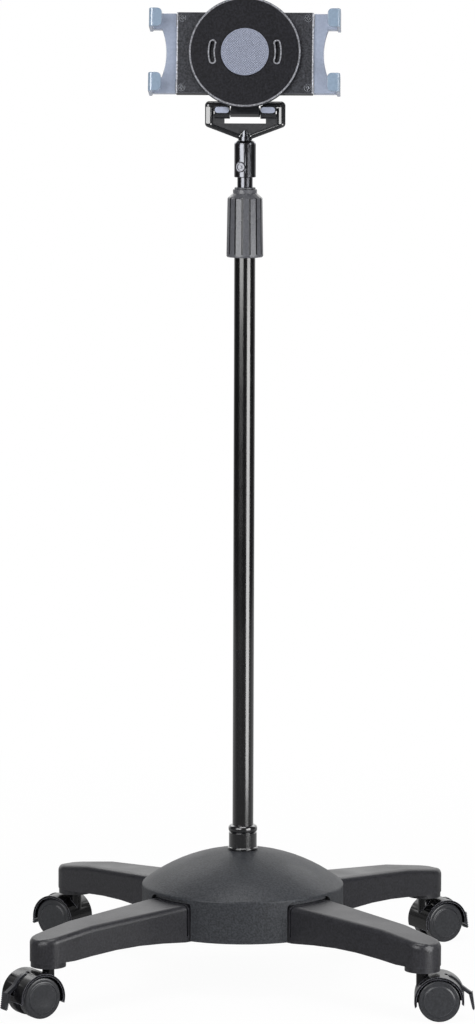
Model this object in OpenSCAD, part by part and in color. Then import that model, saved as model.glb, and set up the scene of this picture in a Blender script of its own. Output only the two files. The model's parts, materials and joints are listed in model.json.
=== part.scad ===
// Adjustable tablet floor stand: a four-legged base on locking twin-wheel casters, a telescoping
// pole with a twist clutch, and a tilting holder whose sprung arms clip a tablet.
// Millimetres. The origin is on the floor under the pole, +Z is up and the tablet faces -Y.

/* [Casters] */
// Diameter of each wheel
wheel_d = 43; // [36:0.5:52]
// Width of each wheel
wheel_w = 12.9; // [11:0.1:15]
// Thickness of the web between the two wheels
web_w = 13.2; // [12.8:0.1:14]
// Distance from the stem's axis back to the axle
trail = 17.5; // [14:0.5:22]
// Gap between the tread and the hood
hood_gap = 1.6; // [1:0.1:3]
// Wall of the hood over the wheels
hood_wall = 2.4; // [1.6:0.1:3.2]
// How far the hood's trailing edge drops below the axle, in degrees
hood_trail_drop = 4; // [0:1:12]
// How far the hood's leading edge drops below the axle, in degrees
hood_lead_drop = 11; // [0:1:18]
// How far the hood's pointed tips reach past its inner edge, in degrees
hood_tip = 5; // [2:0.5:8]
// Diameter of the neck that turns on the stem
neck_d = 12.4; // [11:0.1:12.6]
// Diameter of the axle
axle_d = 6; // [5:0.1:8]
// Diameter of the stem inside the leg
stem_d = 10; // [8:0.1:12]
// Length of the stem inside the leg
stem_len = 24; // [18:0.5:27]
// Diameter of the stem's spigot inside the neck
spigot_d = 7; // [5:0.1:8]
// Width of the brake lever's arm
lever_w = 5.6; // [4:0.1:7]
// Width of the brake lever's foot paddle
paddle_w = 11.5; // [10:0.1:16]
// Height of the foot paddle
paddle_h = 16; // [14:0.5:20]
// How far the paddle stands out from the hood
paddle_out = 8; // [6:0.5:10]
// Direction in which the front left caster trails
turn_front_left = 215; // [0:5:355]
// Direction in which the front right caster trails
turn_front_right = 0; // [0:5:355]
// Direction in which the rear left caster trails
turn_rear_left = 150; // [0:5:355]
// Direction in which the rear right caster trails
turn_rear_right = 30; // [0:5:355]

/* [Legs] */
// Distance from the pole's axis to each caster stem
leg_circle_r = 270; // [240:1:320]
// Width of a leg where it leaves the hub
leg_hub_w = 57; // [50:0.5:62]
// Width of a leg at its round end
leg_end_w = 38; // [34:0.5:44]
// Height of a leg at the hub
leg_hub_h = 39; // [35:0.5:44]
// Height of a leg where its top bends down
leg_break_h = 32.5; // [29:0.5:36]
// Height of a leg at its end
leg_end_h = 24; // [20:0.5:28]
// How far the bend lies inside the caster stem
leg_break_back = 42; // [30:1:60]
// Rise of the arch under a leg
leg_arch = 4.5; // [0:0.5:6]
// Radius of a leg's rounded top edges
leg_round = 6; // [3:0.5:8]
// Wall of a leg
leg_wall = 3.5; // [2.5:0.1:4.5]
// Cross ribs under each leg
leg_ribs = 4; // [2:1:6]
// How far the stem boss stands below a leg
boss_drop = 5.5; // [4:0.5:9]
// Gap between the stem boss and the caster's hood
boss_gap = 3; // [2:0.5:6]

/* [Hub] */
// Radius of the hub's skirt
hub_r = 106.4; // [100:0.2:115]
// Height of the dome's rim above the legs
rim_rise = 6; // [5:0.5:12]
// Height of the dome above its rim
dome_rise = 37; // [28:0.5:44]
// Wall of the hub cover
cover_wall = 2.5; // [2:0.1:3.5]
// Radius of the round between the skirt and the dome
rim_round = 3; // [1:0.5:5]
// Gap between a leg and its notch in the skirt
notch_gap = 2.5; // [1.5:0.1:4]
// Radius of the notch's upper corners
notch_round = 8; // [4:0.5:10]
// Width of the shadow line cut round a leg at the skirt
seam_w = 2.2; // [1:0.1:3]
// Thickness of the plate that the legs bolt to
plate_t = 4; // [3:0.5:6]
// Diameter of the hub's central boss
hub_boss_d = 40; // [34:1:48]
// Diameter of the stud that holds the pole
stud_d = 12; // [10:0.5:14]
// Height of the collar round the pole's foot
ferrule_h = 26.5; // [20:0.5:34]
// Diameter of that collar
ferrule_d = 29.4; // [27:0.2:31]

/* [Column] */
// Diameter of the pole
pole_d = 22; // [20:0.1:24]
// Wall of the pole
pole_wall = 1.2; // [1:0.1:1.5]
// Length of the pole
pole_len = 663; // [500:1:800]
// Diameter of the sliding rod
rod_d = 16; // [14.6:0.1:16.6]
// Wall of the rod
rod_wall = 1.2; // [1:0.1:2]
// Travel of the rod
rod_travel = 400; // [250:1:450]
// Length of rod left in the pole at full height
rod_overlap = 90; // [70:1:120]
// Length of rod that shows above the clutch when it is down
rod_show = 10.4; // [6:0.2:20]
// Height of the clutch grip
grip_h = 72.6; // [68:0.2:84]
// Diameter of the grip at its foot
grip_d = 38.4; // [36:0.2:42]
// Diameter of the grip below its shoulder
grip_top_d = 36.4; // [34:0.2:40]
// How far the grip reaches below the pole's top
grip_below = 37; // [32:0.5:44]
// Grooves round the grip
grip_grooves = 15; // [10:1:20]
// Width of a groove
groove_w = 1.8; // [0.8:0.1:2.4]
// Depth of a groove
groove_deep = 1.2; // [0.5:0.1:1.5]

/* [Head] */
// Diameter of the socket on the rod
socket_d = 22.5; // [21:0.1:26]
// Height of the socket
socket_h = 38; // [34:0.5:46]
// Diameter of the yoke's post
post_d = 14.5; // [13:0.1:17]
// Width of the yoke
yoke_w = 83.5; // [80:0.5:92]
// Thickness of the yoke's round rim
yoke_rim_d = 9; // [8:0.1:10]
// Height of the yoke above the tilt axis
yoke_top = 11.6; // [11:0.1:13]
// Thickness of the yoke's panel
yoke_panel_t = 4; // [3:0.1:5]
// Height of the tilt axis above the socket
hinge_rise = 29; // [28.5:0.5:34]
// Width of the window under the hinge
window_w = 43; // [36:0.5:50]
// Height of the window under the hinge
window_h = 5.7; // [5:0.1:7.6]
// Diameter of the hinge barrel
barrel_d = 9.4; // [8.6:0.1:10.4]
// Length of the hinge barrel
barrel_len = 30.6; // [26:0.2:32]
// Diameter of the hinge pin
pin_d = 5; // [4:0.1:6]
// Length of a hinge cover
cap_len = 14.8; // [12:0.1:15]
// Height of a hinge cover
cap_h = 6.2; // [6:0.1:7.4]
// Tilt of the holder as it stands, in degrees back from upright
rest_tilt = 14; // [0:1:30]

/* [Holder] */
// Width of the holder's plate
holder_w = 142; // [136:0.5:160]
// Height of the holder's plate
holder_h = 85; // [82:0.5:100]
// Thickness of the front plate
front_t = 3; // [2.5:0.1:4]
// Radius of the front plate's rounded sides
side_round = 2; // [1:0.1:2.3]
// Thickness of the rear plate behind the arms
back_t = 3; // [2.5:0.1:5]
// Thickness of an arm's tongue
tongue_t = 4.6; // [3.6:0.1:6]
// Height of an arm's tongue
tongue_h = 56; // [48:0.5:60]
// How far an arm stands out of the holder when it is in
arm_out = 28; // [26:0.5:36]
// Travel of each arm
arm_travel = 36; // [20:0.5:38]
// Length of an arm's tongue left in the holder when it is out
tongue_kept = 14; // [10:0.5:16]
// Width of an arm at the middle of its curved edge
arm_waist = 10.5; // [8:0.5:12]
// Depth of that curve
waist_sag = 4.6; // [2:0.2:6]
// Height of a hook
hook_h = 19.5; // [18:0.5:23]
// Width of a hook's lip
hook_lip = 13.4; // [10:0.1:16]
// Wall of a hook
hook_wall = 3.4; // [2.6:0.1:4.4]
// Radius of the bend from a hook's wall to its lip
hook_bend = 3.8; // [1.5:0.1:4]
// Gap for the tablet between the pad and the hooks
tablet_gap = 9; // [6:0.5:14]
// Diameter of the round disc
disc_d = 116; // [100:1:124]
// Thickness of the disc
disc_t = 4.5; // [3.5:0.1:6]
// Diameter of the grip pad
pad_d = 49.5; // [44:0.5:56]
// Height of the pad above the disc
pad_rise = 1.4; // [0.8:0.1:2]
// Radius of the curved slots in the disc
slot_r = 34.5; // [33:0.5:42]
// Width of a curved slot
slot_w = 4.4; // [3:0.1:6]
// Height of the disc's centre above the tilt axis
hinge_to_disc = 57; // [54:0.5:62]
// Gap between the tilt axis and the bracket's plate
bracket_off = 12.2; // [11.5:0.1:15]
// Thickness of the bracket's plate
bracket_t = 4.2; // [3:0.1:5]
// Diameter of the bracket's round plate
bracket_d = 56; // [46:1:64]
// Diameter of the bolt that the holder turns on
turn_bolt_d = 10; // [8:0.2:12]

/* [Hidden] */
$fn = 48;
// Overshoot of a cut past the face it opens
cut = 1;
// Clearance of a fixed fit and of a running fit, each on the radius
snug = 0.02;
run_fit = 0.05;
// Gap between faces that move past each other
air = 0.3;
// Order of the four corners in every list
corners = ["front_left", "front_right", "rear_left", "rear_right"];
leg_angle = [225, 315, 135, 45];
caster_turn = [turn_front_left, turn_front_right, turn_rear_left, turn_rear_right];

// Casters: z from the floor up to the leg's boss
wheel_r = wheel_d / 2;
wheel_gap = 0.4;
hood_in_r = wheel_r + hood_gap;
hood_r = hood_in_r + hood_wall;
hood_w = web_w + 2 * (wheel_w + 2 * wheel_gap);
boss_z = wheel_r + hood_r + boss_gap;
flange_t = 1.2;
neck_top_z = boss_z - flange_t - air;
neck_low_z = wheel_r;
axle_wall = 3.5;
spigot_low_z = wheel_r + axle_d / 2 + 3.5;
web_low_r = wheel_r * 0.62;
// The lever's pin, from the axle, and its slot in the hood
lever_pin_d = 3;
lever_x = hood_in_r * 0.44;
lever_z = hood_in_r * 0.62;
slot_low_z = hood_r * 0.08;
slot_x = hood_r * 0.2;

// Legs
sleeve_wall = 2;
leg_under_z = boss_z + boss_drop;
leg_top_z = leg_under_z + leg_hub_h;
leg_root_x = hub_r * 0.5;
leg_end_r = leg_end_w / 2;
leg_end_x = leg_circle_r + leg_end_r;
boss_inset = 0.8;
bolt_d = 6;
bolt_head_d = 10;
bolt_head_h = 5;
bolt_places = [hub_r * 0.62, hub_r * 0.84];
bolt_seat_z = leg_top_z - 9;

// Hub
rim_z = leg_top_z + rim_rise;
skirt_low_z = leg_under_z + 0.7;
dome_r = (hub_r * hub_r + dome_rise * dome_rise) / (2 * dome_rise);
dome_centre_z = rim_z + dome_rise - dome_r;
rim_round_z = dome_centre_z + sqrt(pow(dome_r - rim_round, 2) - pow(hub_r - rim_round, 2));
notch_top_z = rim_round_z - 0.4;
flat_r = ferrule_d / 2 + 2;
dome_top_z = dome_centre_z + sqrt(dome_r * dome_r - flat_r * flat_r);
spigot_r = pole_d / 2 + 3;
plate_r = hub_r - cover_wall - 3;
core_low_z = leg_top_z - 25;
nut_h = 7;
washer_t = 1.5;

// Column
pole_top_z = dome_top_z + pole_len;
pole_in_r = pole_d / 2 - pole_wall;
plug_len = 30;
grip_low_z = pole_top_z - grip_below;
grip_top_z = grip_low_z + grip_h;
socket_low_z = grip_top_z + rod_show;
rod_in_socket = socket_h * 0.72;
rod_top_z = socket_low_z + rod_in_socket;
rod_low_z = pole_top_z - rod_travel - rod_overlap;
bush_len = 30;
clutch_r = pole_d / 2 + 3.5;
clutch_low_z = grip_low_z + 5;
collet_h = 15;
collet_r = rod_d / 2 + 3;
collet_low_z = pole_top_z + 3.5;
clutch_top_z = collet_low_z + 7;
shoulder_h = 5;
ring_h = 4.5;
lip_h = 2.1;
ring_r = rod_d / 2 + 4.5;
lip_r = rod_d / 2 + 2.9;

// Head
socket_top_z = socket_low_z + socket_h;
socket_round = 4;
hinge_z = socket_top_z + hinge_rise;
screw_angle = 247;
screw_rise = 11;
screw_head_d = 10.8;
screw_head_h = 1.8;
screw_d = 5;
pan_pin_d = 11;
pan_pin_h = 8;
rim_r = yoke_rim_d / 2;
rim_x = yoke_w / 2 - rim_r;
rim_top = yoke_top - rim_r;
rim_low = rim_top - 18.2;
rim_foot = [4, -hinge_rise + air + 3.5];
foot_d = yoke_rim_d * 0.67;
post_low = -hinge_rise + air;
tip_z = post_low + 3.8;
ear_d = 13;
ear_in = barrel_len / 2 + air * 2;
ear_out = ear_in + cap_len + 1;
window_top = -barrel_d / 2 - 0.9;

// Holder, as distances in front of the tilt axis
washer_gap = 0.8;
back_n = bracket_off + bracket_t + washer_gap + air;
arm_n = back_n + back_t + air;
front_n = arm_n + tongue_t + air;
face_n = front_n + front_t;
disc_n = face_n + disc_t;
pad_n = disc_n + pad_rise;
lip_n = pad_n + tablet_gap;
lip_t = 2.6;
pad_sunk = 0.8;
holder_round = 1;
corner_inset = 5.8;
corner_screw_d = 3;
corner_head_d = 7.4;
corner_head_h = 1.5;
arm_end = holder_w / 2 + arm_out;
arm_h = holder_h - 1;
arm_start = holder_w / 2 + air;
tongue_in = holder_w / 2 - arm_travel - tongue_kept;
hub_half = tongue_in - 5;
spring_d = tongue_t - 1;
spring_u = tongue_h / 2 - 6;
waist_half = arm_h / 2 - hook_h + 2.8;
waist_r = (waist_half * waist_half + waist_sag * waist_sag) / (2 * waist_sag);

// Shared shapes

module tube(d_out, d_in, h) {
    difference() {
        cylinder(d = d_out, h = h);
        translate([0, 0, -cut]) cylinder(d = d_in, h = h + 2 * cut);
    }
}

module bar_x(d, len) {
    rotate([0, 90, 0]) cylinder(d = d, h = len, center = true);
}

module bar_y(d, len) {
    rotate([90, 0, 0]) cylinder(d = d, h = len, center = true);
}

// A round bar between two points of the plane y = 0
module bar_xz(from, to, d) {
    run = to - from;
    translate([from[0], 0, from[1]])
        rotate([0, atan2(run[0], run[1]), 0]) cylinder(d = d, h = norm(run));
}

module rounded_rect(w, h, r) {
    square([w - 2 * r, h], center = true);
    square([w, h - 2 * r], center = true);
    for (x = [-1, 1], y = [-1, 1]) translate([x * (w / 2 - r), y * (h / 2 - r)]) circle(r);
}

// Upright outline in x and z, given depth towards the viewer from n to n + t
module facing(n, t) {
    translate([0, -n, 0]) rotate([90, 0, 0]) linear_extrude(t) children();
}

function arc(centre, r, from, to, steps) =
    [for (i = [0:steps]) let (a = from + (to - from) * i / steps) centre + r * [cos(a), sin(a)]];

function polar(r, a) = r * [cos(a), sin(a)];

// Closed skin through rings of points that run along +X, each ring turning from -Y over the top to +Y
module loft(rings) {
    n = len(rings[0]);
    last = len(rings) - 1;
    polyhedron(
        points = [for (ring = rings) each ring],
        faces = concat(
            [for (i = [1:n - 2]) [0, i + 1, i]],
            [for (k = [0:last - 1], i = [0:n - 1])
                let (a = k * n + i, b = k * n + (i + 1) % n) each [[a, b, a + n], [b, b + n, a + n]]],
            [for (i = [1:n - 2]) [last * n, last * n + i, last * n + i + 1]]
        )
    );
}

// Base: legs

function leg_half(x) =
    x <= leg_circle_r
    ? lookup(x, [[hub_r, leg_hub_w / 2], [leg_circle_r, leg_end_r]])
    : sqrt(leg_end_r * leg_end_r - pow(x - leg_circle_r, 2));

function leg_height(x) =
    lookup(x, [[hub_r, leg_hub_h], [leg_circle_r - leg_break_back, leg_break_h], [leg_end_x, leg_end_h]]);

function leg_under(x) =
    leg_under_z + leg_arch * sin(180 * max(0, min(1, (x - hub_r) / (leg_circle_r - leg_end_r - hub_r))));

function end_drop(x) =
    let (back = leg_end_x - x)
    back < leg_round ? leg_round - sqrt(leg_round * leg_round - pow(leg_round - back, 2)) : 0;

function leg_ring(x, low, inset, round, steps) =
    let (
        w = leg_half(x) - inset,
        top = leg_under_z + leg_height(x) - inset - end_drop(x),
        r = min(round, w - 0.4)
    )
    [for (p = concat(
        [[-w, low]],
        arc([-w + r, top - r], r, 180, 90, steps),
        arc([w - r, top - r], r, 90, 0, steps),
        [[w, low]]
    )) [x, p[0], p[1]]];

module leg_shape() {
    run = leg_circle_r - leg_break_back - hub_r;
    stations = concat(
        [leg_root_x, hub_r],
        [for (i = [1:4]) hub_r + run * i / 4],
        [leg_circle_r - leg_end_r],
        [for (a = [0, 15, 30, 45, 58, 70, 80]) leg_circle_r + leg_end_r * sin(a)]
    );
    loft([for (x = stations) leg_ring(x, leg_under(x), 0, leg_round, 5)]);
}

// Shadow line round the sides and top of a leg, just outside the skirt
module leg_seam() {
    deep = 2.6;
    rise = 6;
    difference() {
        translate([0, 0, leg_under_z + rise])
            tube(2 * (hub_r + air + seam_w), 2 * (hub_r + air), leg_hub_h);
        loft([for (x = [hub_r * 0.8, hub_r + 5])
            leg_ring(x, leg_under_z - cut, deep, leg_round - deep, 3)]);
    }
}

module leg(i) {
    pocket_from = hub_r + 6;
    pocket_to = leg_circle_r - leg_end_r - 3;
    rib_t = 2.6;
    pitch = (pocket_to - pocket_from + rib_t) / (leg_ribs + 1);
    color("#34343a")
    rotate(leg_angle[i])
    difference() {
        union() {
            leg_shape();
            translate([leg_circle_r, 0, boss_z])
                cylinder(r = leg_end_r - boss_inset, h = boss_drop + leg_end_h / 3);
        }
        for (k = [0:leg_ribs])
            loft([for (x = [pocket_from + k * pitch, pocket_from + (k + 1) * pitch - rib_t])
                leg_ring(x, leg_under_z - cut, leg_wall, 2, 1)]);
        leg_seam();
        translate([leg_circle_r, 0, boss_z - cut])
            cylinder(d = stem_d + 2 * sleeve_wall + 4 * snug, h = stem_len + 1 + cut);
        for (x = bolt_places) translate([x, 0, 0]) {
            translate([0, 0, leg_under_z - cut])
                cylinder(d = bolt_head_d + 3, h = bolt_seat_z - leg_under_z + cut);
            cylinder(d = bolt_d + 0.4, h = leg_top_z + cut);
        }
    }
}

module leg_bolts() {
    color("#8c8f94")
    for (a = leg_angle, x = bolt_places) rotate(a) translate([x, 0, 0])
        difference() {
            union() {
                translate([0, 0, bolt_seat_z - bolt_head_h]) cylinder(d = bolt_head_d, h = bolt_head_h);
                translate([0, 0, bolt_seat_z]) cylinder(d = bolt_d, h = leg_top_z + plate_t - bolt_seat_z);
            }
            translate([0, 0, bolt_seat_z - bolt_head_h - cut])
                cylinder(d = bolt_d - 1, h = bolt_head_h / 2 + cut, $fn = 6);
        }
}

module stem_sleeves() {
    color("#d8d8d4")
    for (a = leg_angle) rotate(a) translate([leg_circle_r, 0, boss_z])
        tube(stem_d + 2 * sleeve_wall + 2 * snug, stem_d + 2 * snug, stem_len);
}

// Base: hub

module hub_core() {
    color("#5a5c60")
    difference() {
        union() {
            translate([0, 0, leg_top_z]) cylinder(r = plate_r, h = plate_t);
            translate([0, 0, core_low_z])
                cylinder(d = hub_boss_d, h = dome_top_z - cover_wall - 2 - core_low_z);
            translate([0, 0, leg_top_z]) cylinder(r = spigot_r, h = dome_top_z - leg_top_z);
            for (a = leg_angle) rotate(a) rotate([90, 0, 0]) linear_extrude(plate_t, center = true)
                polygon([[0, leg_top_z + 1], [plate_r * 0.8, leg_top_z + 1], [0, dome_top_z - 12]]);
        }
        translate([0, 0, core_low_z - cut])
            cylinder(d = stud_d + 2 * snug, h = dome_top_z - core_low_z + 2 * cut);
        for (a = leg_angle, x = bolt_places) rotate(a) translate([x, 0, leg_top_z - cut])
            cylinder(d = bolt_d + 2 * snug, h = plate_t + 30);
    }
}

module leg_notch() {
    w = leg_hub_w + 2 * notch_gap;
    h = 2 * (notch_top_z - skirt_low_z);
    translate([hub_r * 0.7, 0, notch_top_z - h / 2]) rotate([90, 0, 90]) linear_extrude(hub_r)
        rounded_rect(w, h, notch_round);
}

module hub_cover() {
    rim_a = acos((hub_r - rim_round) / (dome_r - rim_round));
    flat_a = acos(flat_r / dome_r);
    centre = [0, dome_centre_z];
    inner_r = hub_r - cover_wall;
    inner_a = acos(inner_r / (dome_r - cover_wall));
    inner_top_a = acos((spigot_r + snug) / (dome_r - cover_wall));
    color("#47484d")
    difference() {
        rotate_extrude($fn = 96) polygon(concat(
            [[inner_r, skirt_low_z], [hub_r - 0.8, skirt_low_z], [hub_r, skirt_low_z + 0.8]],
            arc([hub_r - rim_round, rim_round_z], rim_round, 0, rim_a, 4),
            arc(centre, dome_r, rim_a + 1, flat_a, 10),
            [[spigot_r + snug, dome_top_z]],
            arc(centre, dome_r - cover_wall, inner_top_a, inner_a, 10)
        ));
        for (a = leg_angle) rotate(a) leg_notch();
    }
}

module pole_ferrule() {
    bead_r = ferrule_d / 2 + 0.45;
    bead_h = 8;
    foot_r = ferrule_d / 2 + 1.3;
    foot_h = 3;
    color("#2a2a2e")
    translate([0, 0, dome_top_z]) rotate_extrude() polygon(concat(
        [[pole_d / 2 + snug, 0], [foot_r - 0.6, 0]],
        arc([foot_r - foot_h / 2, foot_h / 2], foot_h / 2, -60, 80, 6),
        [[ferrule_d / 2, foot_h + 0.4], [ferrule_d / 2, ferrule_h - bead_h - 0.4]],
        arc([bead_r - 3, ferrule_h - bead_h + 3], 3, -60, 0, 4),
        arc([bead_r - 3.6, ferrule_h - 3.6], 3.6, 0, 80, 5),
        [[pole_d / 2 + snug, ferrule_h]]
    ));
}

module pole_plug() {
    color("#8c8f94") {
        translate([0, 0, dome_top_z]) cylinder(r = pole_in_r - snug, h = plug_len);
        translate([0, 0, core_low_z - nut_h - washer_t - 1])
            cylinder(d = stud_d, h = dome_top_z - core_low_z + nut_h + washer_t + 2);
    }
}

module pole_nut() {
    color("#8c8f94")
    translate([0, 0, core_low_z - washer_t]) {
        tube(hub_boss_d - 8, stud_d + 2 * snug, washer_t);
        translate([0, 0, -nut_h]) difference() {
            cylinder(d = stud_d * 1.8, h = nut_h, $fn = 6);
            translate([0, 0, -cut]) cylinder(d = stud_d + 2 * snug, h = nut_h + 2 * cut);
        }
    }
}

// Casters, each drawn with its stem at the origin and trailing towards +X

module at_stem(i) {
    rotate(leg_angle[i]) translate([leg_circle_r, 0, 0]) rotate(caster_turn[i] - leg_angle[i]) children();
}

module at_axle(i) {
    at_stem(i) translate([trail, 0, wheel_r]) children();
}

module caster_stem(i) {
    color("#9a9da2")
    at_stem(i) {
        translate([0, 0, spigot_low_z + 0.5]) cylinder(d = spigot_d, h = boss_z - spigot_low_z);
        translate([0, 0, boss_z - flange_t]) cylinder(d = neck_d + 1, h = flange_t);
        translate([0, 0, boss_z - 0.5]) cylinder(d = stem_d, h = stem_len - 2.5);
        translate([0, 0, boss_z + stem_len - 3]) cylinder(d1 = stem_d, d2 = stem_d - 3, h = 3);
    }
}

// Arc of a wall round the axle, from one angle to another
module fender(r_in, r_out, w, from, to) {
    rotate([90, 0, 0]) rotate(from) rotate_extrude(angle = to - from, $fn = 72)
        translate([r_in, -w / 2]) square([r_out - r_in, w]);
}

// Slanting cut that leaves a pointed tip on the hood's end
module hood_bevel(from, by) {
    low_r = hood_in_r - cut;
    rotate([90, 0, 0]) linear_extrude(hood_w + 2 * cut, center = true)
        polygon([polar(low_r, from), polar(hood_r, from + by), polar(hood_r, from + 2 * by),
                 polar(low_r, from + 2 * by)]);
}

module caster_body(i) {
    reach = 180 + hood_lead_drop;
    color("#17171a")
    at_axle(i) difference() {
        union() {
            difference() {
                fender(hood_in_r, hood_r, hood_w, -hood_trail_drop - hood_tip, reach + hood_tip);
                hood_bevel(-hood_trail_drop, -hood_tip);
                hood_bevel(reach, hood_tip);
            }
            bar_y(2 * web_low_r, web_w);
            fender(web_low_r - 1, hood_in_r + hood_wall / 2, web_w, 1 - hood_trail_drop, reach - 1);
            translate([-trail, 0, neck_low_z - wheel_r]) cylinder(d = neck_d, h = neck_top_z - neck_low_z);
        }
        translate([-trail, 0, spigot_low_z - wheel_r])
            cylinder(d = spigot_d + 2 * run_fit, h = neck_top_z - spigot_low_z + cut);
        bar_y(axle_d + 2 * snug, web_w + 2 * cut);
        translate([slot_x, -lever_w / 2 - 0.5, slot_low_z]) cube([hood_r, lever_w + 1, hood_r]);
        translate([lever_x, 0, lever_z]) bar_y(lever_pin_d + 2 * run_fit, web_w - 2);
    }
}

module axle(i) {
    color("#b4b7bc")
    at_axle(i) bar_y(axle_d, web_w + 2 * (wheel_gap + wheel_w - axle_wall));
}

// One wheel, its inner side at z = 0 and its closed face up
module wheel() {
    tread_round = 2.4;
    face_r = wheel_r - 5.6;
    step = 1.1;
    hub_d = axle_d + 8;
    rim_in = wheel_r - 4.5;
    hollow = wheel_w * 0.45;
    rotate_extrude($fn = 96) polygon(concat(
        [[axle_d / 2 + run_fit, 0], [hub_d / 2, 0], [hub_d / 2, hollow], [rim_in, hollow], [rim_in, 0]],
        arc([wheel_r - 1, 1], 1, -90, 0, 3),
        arc([wheel_r - tread_round, wheel_w - step - tread_round], tread_round, 0, 60, 4),
        [[wheel_r - 2.6, wheel_w - step], [wheel_r - 4, wheel_w - step],
         [face_r + 0.5, wheel_w - step * 0.9], [face_r - 0.6, wheel_w]],
        [[face_r * 0.8, wheel_w], [face_r * 0.5, wheel_w - 0.5], [0, wheel_w - 0.7],
         [0, wheel_w - axle_wall + 0.5], [axle_d / 2 + run_fit, wheel_w - axle_wall + 0.5]]
    ));
}

module wheel_a(i) {
    color("#2b2b2f")
    at_axle(i) translate([0, -web_w / 2 - wheel_gap, 0]) rotate([90, 0, 0]) wheel();
}

module wheel_b(i) {
    color("#2b2b2f")
    at_axle(i) translate([0, web_w / 2 + wheel_gap, 0]) rotate([-90, 0, 0]) wheel();
}

module brake_lever(i) {
    low_a = 27;
    top_a = 64;
    strap_in = hood_in_r + 0.4;
    strap_out = hood_r + 1.5;
    paddle_t = 3.2;
    paddle_top = [hood_r + paddle_out, hood_r * 0.2];
    paddle_low = paddle_top + [2.8, -paddle_h];
    ribs = 8;
    rib_deep = 0.5;
    rib_pitch = paddle_h / ribs;
    first_rib = paddle_top + [-2 * paddle_t, 0.9];
    color("#1d1d20")
    at_axle(i) {
        rotate([90, 0, 0]) linear_extrude(lever_w, center = true) polygon(concat(
            arc([0, 0], strap_out, top_a, low_a + 3, 5),
            [paddle_top + [0, 1], paddle_top - [paddle_t - 0.4, 1]],
            arc([0, 0], strap_in, low_a, top_a, 5),
            [[lever_x - 2, lever_z], [lever_x - 2, strap_out * sin(top_a)]]
        ));
        translate([lever_x, 0, lever_z]) {
            bar_y(lever_pin_d + 3, lever_w);
            bar_y(lever_pin_d, web_w - 3);
        }
        rotate([90, 0, 0]) {
            linear_extrude(paddle_w - 2 * rib_deep, center = true)
                polygon([paddle_top + [0.4 - rib_deep, 1.2], paddle_low - [rib_deep, 0],
                         paddle_low - [paddle_t - 1 - rib_deep, 0.4],
                         paddle_top - [paddle_t - rib_deep, 1]]);
            linear_extrude(paddle_w, center = true) intersection() {
                polygon([paddle_top + [0.4, 1.5], paddle_low, paddle_low - [paddle_t - 1, 0.6],
                         paddle_top - [paddle_t, 1]]);
                for (k = [0:ribs]) translate(first_rib - [0, k * rib_pitch])
                    square([5 * paddle_t, rib_pitch * 0.6]);
            }
        }
    }
}

// Column

module pole() {
    color("#1b1b1e")
    translate([0, 0, dome_top_z]) tube(pole_d, 2 * pole_in_r, pole_len);
}

module clutch_base() {
    lip_in = rod_d / 2 + 0.6;
    color("#3a3a3e")
    rotate_extrude() polygon([
        [pole_d / 2 + snug, clutch_low_z], [clutch_r, clutch_low_z], [clutch_r, clutch_top_z],
        [collet_r + 0.1, clutch_top_z], [lip_in, collet_low_z - 0.5], [lip_in, pole_top_z],
        [pole_d / 2 + snug, pole_top_z]
    ]);
}

module clutch_collet() {
    split_w = 1.6;
    in_r = rod_d / 2 + run_fit;
    color("#c9c9c4")
    difference() {
        rotate_extrude() polygon([
            [in_r, collet_low_z], [rod_d / 2 + 0.7, collet_low_z], [collet_r, clutch_top_z],
            [collet_r, collet_low_z + collet_h - 5], [rod_d / 2 + 0.5, collet_low_z + collet_h],
            [in_r, collet_low_z + collet_h]
        ]);
        translate([0, -split_w / 2, collet_low_z - cut])
            cube([collet_r + cut, split_w, collet_h + 2 * cut]);
    }
}

module clutch_grip() {
    shoulder_z = grip_top_z - lip_h - ring_h - shoulder_h;
    ring_z = grip_top_z - lip_h;
    hole_r = rod_d / 2 + 0.35;
    cone_z = collet_low_z + collet_h - 5 + 1;
    lean = atan((grip_d - grip_top_d) / 2 / (shoulder_z - grip_low_z));
    color("#55565c")
    difference() {
        rotate_extrude($fn = 96) polygon([
            [pole_d / 2 + air, grip_low_z], [grip_d / 2 - 1, grip_low_z], [grip_d / 2, grip_low_z + 1.2],
            [grip_top_d / 2, shoulder_z], [grip_top_d / 2 - 1.2, shoulder_z + 1.4],
            [ring_r, ring_z - ring_h + 0.4], [ring_r, ring_z - 0.4], [ring_r - 0.4, ring_z],
            [lip_r, ring_z], [lip_r, grip_top_z - 0.4], [lip_r - 0.4, grip_top_z], [hole_r, grip_top_z],
            [hole_r, cone_z + 5], [collet_r + air, cone_z], [collet_r + air, clutch_top_z + air],
            [clutch_r + run_fit, clutch_top_z + air], [clutch_r + run_fit, clutch_low_z - air],
            [pole_d / 2 + air, clutch_low_z - air]
        ]);
        for (k = [0:grip_grooves - 1]) rotate(k * 360 / grip_grooves)
            translate([grip_d / 2, 0, grip_low_z]) rotate([0, -lean, 0])
                translate([-groove_deep, -groove_w / 2, 3.4])
                    cube([grip_d, groove_w, shoulder_z - grip_low_z]);
    }
}

module rod() {
    color("#222226")
    translate([0, 0, rod_low_z]) tube(rod_d, rod_d - 2 * rod_wall, rod_top_z - rod_low_z);
}

module rod_bush() {
    color("#d8d8d4")
    translate([0, 0, rod_low_z]) tube(2 * (pole_in_r - run_fit), rod_d + 2 * snug, bush_len);
}

// Head

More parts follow.
